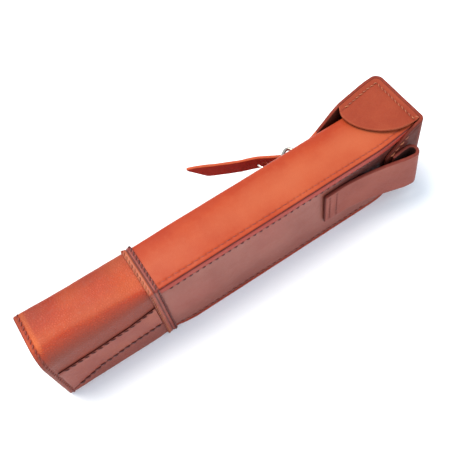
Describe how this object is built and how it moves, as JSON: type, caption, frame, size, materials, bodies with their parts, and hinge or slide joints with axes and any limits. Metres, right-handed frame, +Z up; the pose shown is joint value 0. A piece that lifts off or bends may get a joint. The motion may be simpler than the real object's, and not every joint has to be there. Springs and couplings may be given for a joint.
{
  "type": "leather optics carrying case",
  "caption": "Long stitched leather case with a rounded toe tube, a hinged fan-gusset lid, a buckled closing strap and a belt loop; it carries a slim telescope or sight.",
  "frame": {"origin": "centre of the underside of the joint band, on the surface the case lies on, at the middle of the box's width", "axes": "+X along the case towards its mouth and lid; +Y towards the front wall with the buckle; -Y is the back wall with the belt loop; +Z up"},
  "size_m": [0.3345, 0.1079, 0.0805],
  "materials": {
    "body_leather": "orange tan vegetable-tanned leather, burnished, satin",
    "panel_leather": "the same leather in a redder brown, soft satin",
    "gusset_leather": "matte fine-grained leather",
    "strap_leather": "rough dark red flesh side with an orange tan grain side and edge",
    "disc_leather": "matte brown leather",
    "waxed_thread": "waxed linen thread, dark red brown",
    "nickel": "bright nickel plate",
    "nickel_dark": "worn nickel-plated wire"
  },
  "bodies": {
    "case": {"body_wrap": "body_leather", "back_panel": "panel_leather", "toe_tube": "body_leather", "toe_end_disc": "disc_leather", "joint_band": "body_leather", "toe_seam_strip": "panel_leather", "lid_hinge_flap": "panel_leather", "belt_loop": "panel_leather", "buckle_chape": "body_leather", "thread_band_box_side": "waxed_thread", "thread_band_toe_side": "waxed_thread", "thread_chape": "waxed_thread", "thread_flap_lower": "waxed_thread", "thread_flap_upper": "waxed_thread", "thread_loop_end": "waxed_thread", "thread_loop_inner": "waxed_thread", "thread_side_lower": "waxed_thread", "thread_side_upper": "waxed_thread", "thread_toe_rim": "waxed_thread", "thread_toe_seam_lower": "waxed_thread", "thread_toe_seam_upper": "waxed_thread", "thread_top_edge": "waxed_thread"},
    "lid": {"lid_strip": "body_leather", "lid_gusset_top": "gusset_leather", "lid_gusset_bottom": "gusset_leather", "thread_gusset_top": "waxed_thread", "thread_gusset_bottom": "waxed_thread"},
    "strap": {"closure_strap": "strap_leather"},
    "buckle": {"buckle_frame": "nickel"},
    "roller": {"buckle_roller": "nickel"},
    "prong": {"buckle_prong": "nickel_dark"}
  },
  "joints": [
    {"name": "lid_hinge", "type": "hinge", "parent": "case", "child": "lid", "pos_m": [0.236, -0.0215, 0.0401], "axis": [0, 0, -1], "range_deg": [0, 140]},
    {"name": "strap_lift", "type": "hinge", "parent": "lid", "child": "strap", "pos_m": [0.157, 0.0322, 0.04], "axis": [0, 0, -1], "range_deg": [0, 75]},
    {"name": "buckle_swing", "type": "hinge", "parent": "case", "child": "buckle", "pos_m": [0.138, 0.0254, 0.04], "axis": [0, 0, 1], "range_deg": [-10, 2]},
    {"name": "roller_spin", "type": "hinge", "parent": "buckle", "child": "roller", "pos_m": [0.1565, 0.0272, 0.04], "axis": [0, 0, 1], "continuous": true},
    {"name": "prong_swing", "type": "hinge", "parent": "case", "child": "prong", "pos_m": [0.138, 0.0254, 0.04], "axis": [0, 0, 1], "range_deg": [0, 30]}
  ]
}
